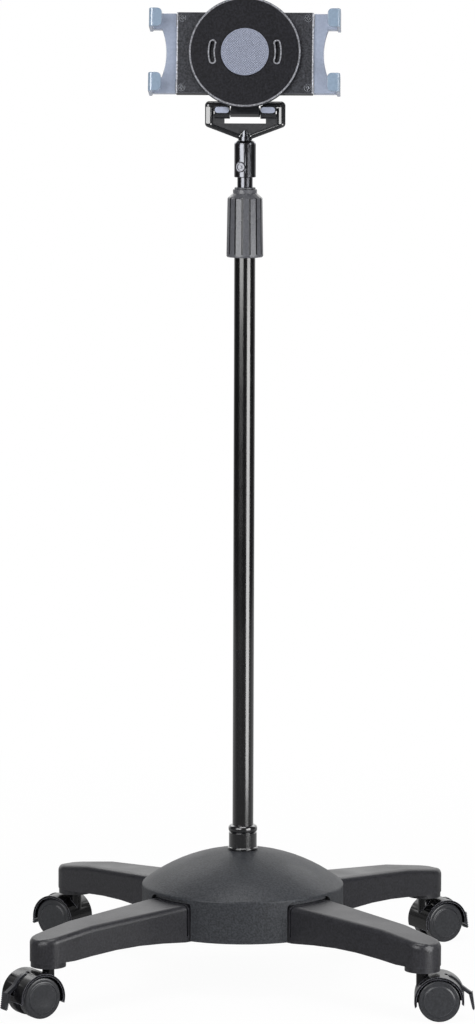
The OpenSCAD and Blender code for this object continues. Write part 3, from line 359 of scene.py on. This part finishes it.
# For each material slot of the record: the finish's name, its maker, its tone and its settings
FINISHES = {
    # Open sand-cast skin, dull and mottled
    "cast_hub": ("Cast iron, as cast", moulded, "#4d4f53", dict(
        grain=2.2, contrast=0.3, rough=0.7, relief=0.8)),
    # Deep even grain that scatters light to a soft grey, drawn coarser than life so that it shows; its edges carry
    # a painted highlight
    "hub_paint": ("Pressed steel, grained powder coat", moulded, "dome", dict(
        grain=2.0, contrast=0.32, rough=0.45, relief=0.6, level=0.35, edge=0.5)),
    # Cool pale metal, brushed to a soft shine
    "zinc_steel": ("Steel, zinc plated", plated, "#a3a6ab", dict(rough=0.32, stretch=(1, 1, 0.2))),
    # Waxy, slightly clear white
    "nylon": ("Nylon, natural moulded", moulded, "#d3d2cc", dict(
        grain=3.0, contrast=0.05, rough=0.5, relief=0.1)),
    # Hard shine with a crisp highlight, and a painted highlight on its corners
    "gloss_black": ("ABS, gloss moulded", moulded, "#141416", dict(
        grain=2.0, contrast=0.1, rough=0.16, relief=0.04, level=1.0, edge=0.6, gain=3.0, coat=1.0)),
    # Black mirror with two bright upright stripes
    "pole_paint": ("Steel tube, gloss powder coat", coated, "pole", dict(rough=0.2, level=1.0)),
    # Plain dull black, out of sight
    "clutch_plastic": ("ABS, plain moulded", moulded, "#3a3a3e", dict(
        grain=1.2, contrast=0.1, rough=0.45, relief=0.2)),
    # Silvery satin with broad soft highlights on each land, and painted shade in the grooves between them
    "grip_plastic": ("ABS, satin moulded", moulded, "grip", dict(
        grain=1.4, contrast=0.14, rough=0.26, relief=0.15, level=0.8, crease=0.85)),
    # Smoky mirror with hard light and dark bands
    "black_chrome": ("Steel, black chrome plated", plated, "chrome", dict(
        rough=0.2, stretch=(1, 1, 0.1))),
    # Wet-looking black bars round a dull, sandy panel
    "yoke_paint": ("Zinc casting, gloss enamel", enamelled, "yoke", dict(panel="panel")),
    # Pale cool grey, smooth and even
    "cap_plastic": ("ABS, grey moulded", moulded, "cap", dict(
        grain=1.8, contrast=0.06, rough=0.38, relief=0.12)),
    # Matt black with a sandy sparkle, drawn coarser than life so that the specks show; its corners carry a faint
    # painted highlight
    "holder_plastic": ("ABS, fine texture", moulded, "#1b1c20", dict(
        grain=2.0, contrast=0.3, rough=0.38, relief=0.3, edge=0.3)),
    # The same coarse specks on a greyer plate; its corners carry a painted highlight, and its rounded sides a pale
    # painted highlight
    "plate_plastic": ("ABS, speckled texture", moulded, "plate", dict(
        grain=2.0, contrast=0.5, rough=0.42, relief=0.7, level=0.3, edge=0.8,
        zone=("holder_front", SIDEWAYS, "side_highlight_width", "plate_edge_highlight"))),
    # The darkest of the speckled faces; its raised beads carry a grey painted highlight
    "disc_plastic": ("ABS, dark speckled texture", moulded, "disc", dict(
        grain=2.0, contrast=0.45, rough=0.4, relief=0.6, level=0.25,
        zone=("front_disc", FACING, "bead_highlight_rise", "bead"))),
    # Black heads whose edges carry a bright painted highlight
    "screw_steel": ("Steel, black oxide screw", moulded, "#2a2b2e", dict(
        grain=1.5, contrast=0.2, rough=0.25, relief=0.1, level=0.8, edge=1.0, gain=22.0)),
    # Smooth cool grey whose edges carry a dark painted shade; the hooks' lips carry a bluer, darker painted shade
    "arm_plastic": ("ABS, grey clip moulding", moulded, "clip", dict(
        grain=2.4, contrast=0.05, rough=0.1, relief=0.03, level=1.0, edge=0.9, gain=0.15, coat=0.4,
        zone=("arm_left", FACING, "lip_shade_depth", "clip_lip_shade"))),
    # Soft blue-grey with rows of square dots, whose tops carry a paler painted highlight
    "pad_rubber": ("Rubber, studded sheet", moulded, "pad", dict(
        grain=1.8, contrast=0.1, rough=0.6, relief=0.2,
        zone=("grip_pad", FACING, "stud_highlight_depth", "stud"))),
    # Leathery grain, drawn coarser than life, with a pale sheen along its top; its corners carry a painted
    # highlight
    "leg_plastic": ("Polypropylene, grain moulded", moulded, "leg", dict(
        grain=2.0, contrast=0.35, rough=0.34, relief=0.35, level=0.6, edge=0.4)),
    # Deep gloss black; its thin bright edge lines are a painted highlight
    "hood_plastic": ("Nylon, gloss moulded", moulded, "hood", dict(
        grain=2.0, contrast=0.1, rough=0.2, relief=0.05, edge=1.0, gain=40.0)),
    # Dark satin discs whose rims carry a pale painted highlight, with painted shade in their hollows
    "wheel_plastic": ("Nylon, satin wheel moulding", moulded, "wheel", dict(
        grain=2.2, contrast=0.15, rough=0.24, relief=0.1, level=0.6, edge=1.0, gain=9.0,
        crease=0.95)),
    # Dull black; its pale rib tops are a painted highlight on the corners and its dark gaps a painted shade
    "lever_plastic": ("Nylon, ribbed moulding", moulded, "#2a2b2f", dict(
        grain=1.8, contrast=0.15, rough=0.34, relief=0.15, level=0.4, edge=0.6, gain=5.0,
        crease=0.95)),
}


def finish_of(slot):
    """The finish for one of the record's material slots, made when it is first asked for."""
    name, make, tone, settings = FINISHES[slot]
    return bpy.data.materials.get(name) or make(name, tone_of(tone), **settings)


def reach(node, direction):
    """Lowest and highest place of a solid along a direction."""
    along = [direction.dot(v.co) for v in frame["nodes"][node].data.vertices]
    return min(along), max(along)


def select_only(piece):
    bpy.ops.object.select_all(action="DESELECT")
    piece.select_set(True)
    bpy.context.view_layer.objects.active = piece


def apply_all(piece):
    select_only(piece)
    for modifier in list(piece.modifiers):
        bpy.ops.object.modifier_apply(modifier=modifier.name)


def edit(piece, *steps):
    """Runs edit-mode operators on a piece; each step is an operator and its settings."""
    select_only(piece)
    bpy.ops.object.mode_set(mode="EDIT")
    for operator, settings in steps:
        operator(**settings)
    bpy.ops.object.mode_set(mode="OBJECT")


def choose(piece, test):
    """Selects the points of a piece that pass a test, and the edges and faces between them."""
    mesh = piece.data
    chosen = [test(v.co) for v in mesh.vertices]
    for v in mesh.vertices:
        v.select = chosen[v.index]
    for part in (*mesh.edges, *mesh.polygons):
        part.select = all(chosen[i] for i in part.vertices)


def cube(size, place, turn=(0, 0, 0)):
    bpy.ops.object.select_all(action="DESELECT")
    bpy.ops.mesh.primitive_cube_add(size=size, location=place, rotation=turn)
    return bpy.context.object


def cylinder(sides, radius, depth, height):
    """An upright cylinder with its middle at a height above the origin."""
    bpy.ops.object.select_all(action="DESELECT")
    bpy.ops.mesh.primitive_cylinder_add(
        vertices=sides, radius=radius, depth=depth, location=(0, 0, height))
    bpy.ops.object.transform_apply()
    return bpy.context.object


def carve(piece, block):
    """Cuts a block out of a piece and takes the block away."""
    select_only(block)
    bpy.ops.object.transform_apply()
    cut = piece.modifiers.new("cut", "BOOLEAN")
    cut.object = block
    apply_all(piece)
    bpy.data.objects.remove(block)


def join(piece, other):
    select_only(piece)
    other.select_set(True)
    bpy.ops.object.join()


def traced(node):
    """A merged copy of a part's solid, to be worked on as a new piece."""
    piece = bpy.data.objects.new(node + "_rounded", frame["nodes"][node].data.copy())
    bpy.context.scene.collection.objects.link(piece)
    piece.data.materials.clear()
    edit(piece, (bpy.ops.mesh.select_all, {"action": "SELECT"}),
         (bpy.ops.mesh.remove_doubles, {"threshold": MERGE_GAP}),
         (bpy.ops.mesh.dissolve_limited, {"angle_limit": math.radians(FLAT_TURN)}))
    return piece


def round_edges(piece, radius, angle=EDGE_TURN):
    bevel = piece.modifiers.new("rounded edges", "BEVEL")
    bevel.width = radius
    bevel.segments = EDGE_SEGMENTS
    bevel.limit_method = "ANGLE"
    bevel.angle_limit = math.radians(angle)
    apply_all(piece)


def smooth(piece, angle=SMOOTH_TURN):
    select_only(piece)
    bpy.ops.object.shade_smooth_by_angle(angle=math.radians(angle))


def level_normals(piece):
    """Keeps broad flat faces flat where rounded edges meet them."""
    piece.modifiers.new("level normals", "WEIGHTED_NORMAL").keep_sharp = True
    apply_all(piece)


def settle(piece, *nodes):
    """Gives a finished piece its finish and its body, in place of the solids it was made from."""
    slot = SLOT_OF[nodes[0]]
    piece.data.materials.clear()
    piece.data.materials.append(finish_of(slot))
    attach(piece, BODY_OF[nodes[0]])
    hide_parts(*nodes)


def complete(piece, node, radius):
    """Rounds the edges of a piece, smooths its curved faces and settles it."""
    if radius:
        round_edges(piece, radius)
    smooth(piece)
    level_normals(piece)
    settle(piece, node)


def soften(node, radius, flatten=0):
    """Rounds and smooths a part as it is; neighbours that turn by less than the angle called flatten
    become one flat face first."""
    piece = traced(node)
    if flatten:
        edit(piece, (bpy.ops.mesh.select_all, {"action": "SELECT"}),
             (bpy.ops.mesh.dissolve_limited, {"angle_limit": math.radians(flatten)}))
    complete(piece, node, radius)


class STAND_OT_hidden_parts(bpy.types.Operator):
    """Gives every part its finish, those inside the stand included"""

    bl_idname = "stand.hidden_parts"
    bl_label = "Finish all parts"

    def execute(self, context):
        for node, solid in frame["nodes"].items():
            solid.data.materials.clear()
            solid.data.materials.append(finish_of(SLOT_OF[node]))
        return {"FINISHED"}


class STAND_OT_base(bpy.types.Operator):
    """Rounds the dome, its collar and the four legs"""

    bl_idname = "stand.base"
    bl_label = "Base"

    def execute(self, context):
        sizes = context.scene.stand_sizes
        soften("hub_cover", sizes.dome_edge)
        soften("pole_ferrule", sizes.fine_edge)
        for corner in CORNERS:
            soften("leg_" + corner, sizes.moulded_edge)
        return {"FINISHED"}


class STAND_OT_casters(bpy.types.Operator):
    """Rounds the hoods, wheels and brake levers of the casters"""

    bl_idname = "stand.casters"
    bl_label = "Casters"

    def execute(self, context):
        sizes = context.scene.stand_sizes
        for corner in CORNERS:
            soften("caster_body_" + corner, sizes.moulded_edge)
            for part in ("wheel_a_", "wheel_b_", "brake_lever_"):
                soften(part + corner, sizes.fine_edge)
        return {"FINISHED"}


class STAND_OT_column(bpy.types.Operator):
    """Smooths the pole, the twist grip, the rod and its socket"""

    bl_idname = "stand.column"
    bl_label = "Column"

    def execute(self, context):
        sizes = context.scene.stand_sizes
        soften("pole", 0)
        soften("clutch_grip", sizes.fine_edge, flatten=LAND_TURN)
        soften("rod", 0)
        soften("head_socket", sizes.fine_edge)
        soften("socket_screw", sizes.fine_edge / 2)
        return {"FINISHED"}


class STAND_OT_yoke(bpy.types.Operator):
    """Grinds flats on the yoke's bars, points its post, and rounds the hinge"""

    bl_idname = "stand.yoke"
    bl_label = "Yoke"

    def execute(self, context):
        sizes = context.scene.stand_sizes
        self.casting(sizes)
        self.post(sizes)
        soften("hinge_caps", sizes.moulded_edge)
        soften("tilt_bracket", sizes.fine_edge)
        return {"FINISHED"}

    def casting(self, sizes):
        """The cast yoke, with a flat ground along the front of each upright bar."""
        piece = traced("yoke")
        high = reach("yoke", UPWARD)[1]
        half = reach("yoke", SIDEWAYS)[1]
        bar = sizes.yoke_bar
        for side, turn, share in YOKE_FLATS:
            aside = math.radians(turn)
            outward = Vector((math.sin(aside), -math.cos(aside), 0))
            away = math.sqrt(bar ** 2 - (share * sizes.yoke_flat / 2) ** 2) + bar
            middle = Vector((side * (half - bar), 0, high - FLAT_DROP * bar))
            block = cube(2 * bar, middle + away * outward, (0, 0, aside))
            block.scale.z = FLAT_REACH
            carve(piece, block)
        complete(piece, "yoke", sizes.fine_edge)

    def post(self, sizes):
        """The post in the yoke's foot: a round neck that runs up to a pointed end, like a roof."""
        piece = traced("yoke_post")
        half = reach("yoke_post", SIDEWAYS)[1]
        tip = reach("yoke_post", UPWARD)[1]
        foot = tip - half
        carve(piece, cube(4 * half, (0, 0, foot + 2 * half)))
        neck = cylinder(NECK_SIDES, sizes.post_neck, 2 * half, foot)
        for side in (-1, 1):
            slope = ROOF_SLOPE * side
            outward = Vector((math.sin(slope), 0, math.cos(slope)))
            carve(neck, cube(4 * half, tip * UPWARD + 2 * half * outward, (0, slope, 0)))
        join(piece, neck)
        complete(piece, "yoke_post", sizes.fine_edge)


class STAND_OT_holder(bpy.types.Operator):
    """Rounds the holder's plates, disc, screws and clip arms, and studs its pad"""

    bl_idname = "stand.holder"
    bl_label = "Holder"

    def execute(self, context):
        sizes = context.scene.stand_sizes
        soften("holder_back", sizes.moulded_edge)
        soften("holder_front", sizes.moulded_edge)
        soften("front_disc", sizes.fine_edge)
        soften("holder_screws", sizes.fine_edge / 2)
        soften("arm_left", sizes.clip_edge)
        soften("arm_right", sizes.clip_edge)
        self.pad(sizes)
        return {"FINISHED"}

    def pad(self, sizes):
        """A rubber disc with a plain rim round a field of small square studs, set on the diagonal."""
        low, high = reach("grip_pad", FACING)
        left, right = reach("grip_pad", SIDEWAYS)
        radius = (right - left) / 2
        # Lying flat, with its front face at the origin; the face is sunk inside the rim
        sheet = cylinder(PAD_SIDES, radius, high - low, (low - high) / 2)
        choose(sheet, lambda p: p.z > (low - high) / 2)
        edit(sheet, (bpy.ops.mesh.inset, {"thickness": sizes.pad_rim}),
             (bpy.ops.transform.translate, {"value": (0, 0, -sizes.stud_rise)}))
        round_edges(sheet, sizes.fine_edge, PAD_EDGE_TURN)
        join(sheet, self.studs(sizes, radius))
        sheet.name = "grip_pad_studded"
        # Stood up on the disc
        points = [v.co for v in frame["nodes"]["grip_pad"].data.vertices]
        centre = sum(points, Vector()) / len(points)
        middle = centre + FACING * (high - FACING.dot(centre))
        turn = Matrix((SIDEWAYS, FACING.cross(SIDEWAYS), FACING)).transposed()
        sheet.matrix_world = Matrix.Translation(middle) @ turn.to_4x4()
        bpy.ops.object.transform_apply()
        smooth(sheet, PAD_SMOOTH_TURN)
        settle(sheet, "grip_pad")

    def studs(self, sizes, radius):
        """A round field of studs; one that would run into the rim is left out."""
        pitch = sizes.pad_pitch
        count = math.ceil(2 * radius / pitch) + 1
        span = (count - 1) * pitch
        side = pitch * STUD_SHARE
        bpy.ops.object.select_all(action="DESELECT")
        bpy.ops.mesh.primitive_cone_add(
            vertices=4, radius1=side * STUD_FOOT, radius2=side * STUD_TOP, depth=sizes.stud_rise,
            end_fill_type="NGON", location=(-span / 2, -span / 2, -sizes.stud_rise / 2),
            rotation=(0, 0, PAD_TURN))
        studs = bpy.context.object
        bpy.ops.object.transform_apply()
        for axis in range(2):
            row = studs.modifiers.new("rows", "ARRAY")
            row.use_relative_offset = False
            row.use_constant_offset = True
            row.constant_offset_displace = [pitch * (k == axis) for k in range(3)]
            row.count = count
        apply_all(studs)
        field = radius - sizes.pad_rim - side * STUD_ROOM

        def outside(point):
            home = [round((k + span / 2) / pitch) * pitch - span / 2 for k in point[:2]]
            return math.hypot(*home) > field

        choose(studs, outside)
        edit(studs, (bpy.ops.mesh.delete, {"type": "VERT"}))
        select_only(studs)
        studs.rotation_euler.z = PAD_TURN
        bpy.ops.object.transform_apply()
        return studs


class STAND_OT_stage(bpy.types.Operator):
    """Lays the pale floor and sets the studio light and the camera"""

    bl_idname = "stand.stage"
    bl_label = "Stage"

    def execute(self, context):
        context.scene.view_settings.view_transform = "Standard"
        self.floor()
        self.backdrop(context.scene)
        self.lamps()
        self.camera(context.scene)
        return {"FINISHED"}

    def floor(self):
        """White paper that the camera sees lit, a little dimmer close to the stand."""
        bpy.ops.object.select_all(action="DESELECT")
        bpy.ops.mesh.primitive_plane_add(size=FLOOR_SIZE)
        floor = bpy.context.object
        floor.name = "studio_floor"
        material, tree, place = start("Paper sweep, matt white")
        far = add(tree, "VectorMath", {0: place}, operation="LENGTH")
        near = add(tree, "MapRange", {"Value": far.outputs["Value"], "From Min": 0.4, "From Max": 1.4,
                                      "To Min": 0.96, "To Max": 1.0})
        ray = add(tree, "LightPath")
        seen = ray.outputs["Is Camera Ray"]
        for kind in ("Is Glossy Ray", "Is Transmission Ray"):
            either = add(tree, "Math", {0: seen, 1: ray.outputs[kind]}, operation="MAXIMUM")
            seen = either.outputs[0]
        lit = add(tree, "Math", {0: seen, 1: near.outputs["Result"]}, operation="MULTIPLY")
        # In front of the stand the paper runs out of the light, and only reflections show it
        depth = add(tree, "SeparateXYZ", {"Vector": place})
        fading = add(tree, "MapRange", {"Value": depth.outputs["Y"], "From Min": -0.5, "From Max": 0.6,
                                        "To Min": 0.12, "To Max": 0.4})
        strength = add(tree, "Mix", {0: ray.outputs["Is Camera Ray"], 2: fading.outputs["Result"],
                                     3: 1.0}, data_type="FLOAT")
        paper = add(tree, "BsdfDiffuse", {"Color": (0.86, 0.86, 0.86, 1)})
        glow = add(tree, "Emission", {"Color": (1, 1, 1, 1), "Strength": strength.outputs[0]})
        both = add(tree, "MixShader", {0: lit.outputs[0], 1: paper.outputs[0], 2: glow.outputs[0]})
        add(tree, "OutputMaterial", {"Surface": both.outputs[0]})
        floor.data.materials.append(material)

    def backdrop(self, scene):
        """White all round for the camera; reflections see the white backdrop behind the stand, greyer
        at its foot, and a dim room on the photographer's side."""
        world = bpy.data.worlds.new("White studio")
        world.use_nodes = True
        tree = world.node_tree
        tree.nodes.clear()
        ray = add(tree, "LightPath")
        mirrored = add(tree, "Math", {0: ray.outputs["Is Glossy Ray"],
                                      1: ray.outputs["Is Transmission Ray"]}, operation="MAXIMUM")
        towards = add(tree, "SeparateXYZ", {"Vector": add(tree, "TexCoord").outputs["Generated"]})
        behind = add(tree, "MapRange", {"Value": towards.outputs["Y"], "From Min": 0.45,
                                        "From Max": 0.75, "To Min": 0.08, "To Max": 1.0})
        foot = add(tree, "MapRange", {"Value": towards.outputs["Z"], "From Min": -0.1,
                                      "From Max": 0.05, "To Min": 0.3, "To Max": 1.0})
        sweep = add(tree, "Math", {0: behind.outputs["Result"], 1: foot.outputs["Result"]},
                    operation="MULTIPLY")
        room = add(tree, "Mix", {0: mirrored.outputs[0], 2: 0.2, 3: sweep.outputs[0]},
                   data_type="FLOAT")
        strength = add(tree, "Mix", {0: ray.outputs["Is Camera Ray"], 2: room.outputs[0], 3: 1.0},
                       data_type="FLOAT")
        sky = add(tree, "Background", {"Color": (1, 1, 1, 1), "Strength": strength.outputs[0]})
        add(tree, "OutputWorld", {"Surface": sky.outputs[0]})
        scene.world = world

    def lamps(self):
        for name, (place, aim, width, height, watts) in LAMPS.items():
            bpy.ops.object.light_add(type="AREA", location=place)
            lamp = bpy.context.object
            lamp.name = name
            lamp.visible_camera = False
            lamp.data.shape = "RECTANGLE"
            lamp.data.size = width
            lamp.data.size_y = height
            lamp.data.energy = watts
            towards = Vector(aim) - Vector(place)
            lamp.rotation_euler = towards.to_track_quat("-Z", "Y").to_euler()

    def camera(self, scene):
        """Stands where the photographer stood: far back, a little above the holder, looking slightly
        down."""
        azimuth, pitch, roll = math.radians(2.253), 0.1202, 0.0033
        distance, height = 5.1872, 1.1355
        ahead = Vector((-math.sin(azimuth) * math.cos(pitch), math.cos(azimuth) * math.cos(pitch),
                        -math.sin(pitch)))
        right = Vector((math.cos(azimuth), math.sin(azimuth), 0))
        up = right.cross(ahead)
        across = math.cos(roll) * right + math.sin(roll) * up
        along = math.cos(roll) * up - math.sin(roll) * right
        turn = Matrix((across, along, -ahead)).transposed()
        place = (math.sin(azimuth) * distance, -math.cos(azimuth) * distance, height)
        data = bpy.data.cameras.new("photographer")
        data.lens = 175.43
        data.sensor_width = 36
        data.shift_x = -0.0063
        data.shift_y = -0.0128
        data.clip_end = 100
        camera = bpy.data.objects.new("photographer", data)
        scene.collection.objects.link(camera)
        camera.matrix_world = Matrix.Translation(place) @ turn.to_4x4()
        scene.camera = camera


class STAND_PT_panel(bpy.types.Panel):
    """Lists the steps that dress the stand, its sizes and its colours"""

    bl_label = "Tablet floor stand"
    bl_idname = "STAND_PT_panel"
    bl_space_type = "VIEW_3D"
    bl_region_type = "UI"
    bl_category = "Stand"

    def draw(self, context):
        for step in STEPS:
            self.layout.operator(step.bl_idname)
        for group in (context.scene.stand_sizes, context.scene.stand_colours):
            for key in group.__annotations__:
                self.layout.prop(group, key)


STEPS = (STAND_OT_hidden_parts, STAND_OT_base, STAND_OT_casters, STAND_OT_column, STAND_OT_yoke,
         STAND_OT_holder, STAND_OT_stage)
CLASSES = (StandSizes, StandColours, *STEPS, STAND_PT_panel)


def register():
    for kind in CLASSES:
        bpy.utils.register_class(kind)
    bpy.types.Scene.stand_sizes = bpy.props.PointerProperty(type=StandSizes)
    bpy.types.Scene.stand_colours = bpy.props.PointerProperty(type=StandColours)


def unregister():
    del bpy.types.Scene.stand_colours
    del bpy.types.Scene.stand_sizes
    for kind in reversed(CLASSES):
        bpy.utils.unregister_class(kind)


def main():
    register()
    for step in STEPS:
        group, name = step.bl_idname.split(".")
        getattr(getattr(bpy.ops, group), name)()


if __name__ == "__main__":
    main()
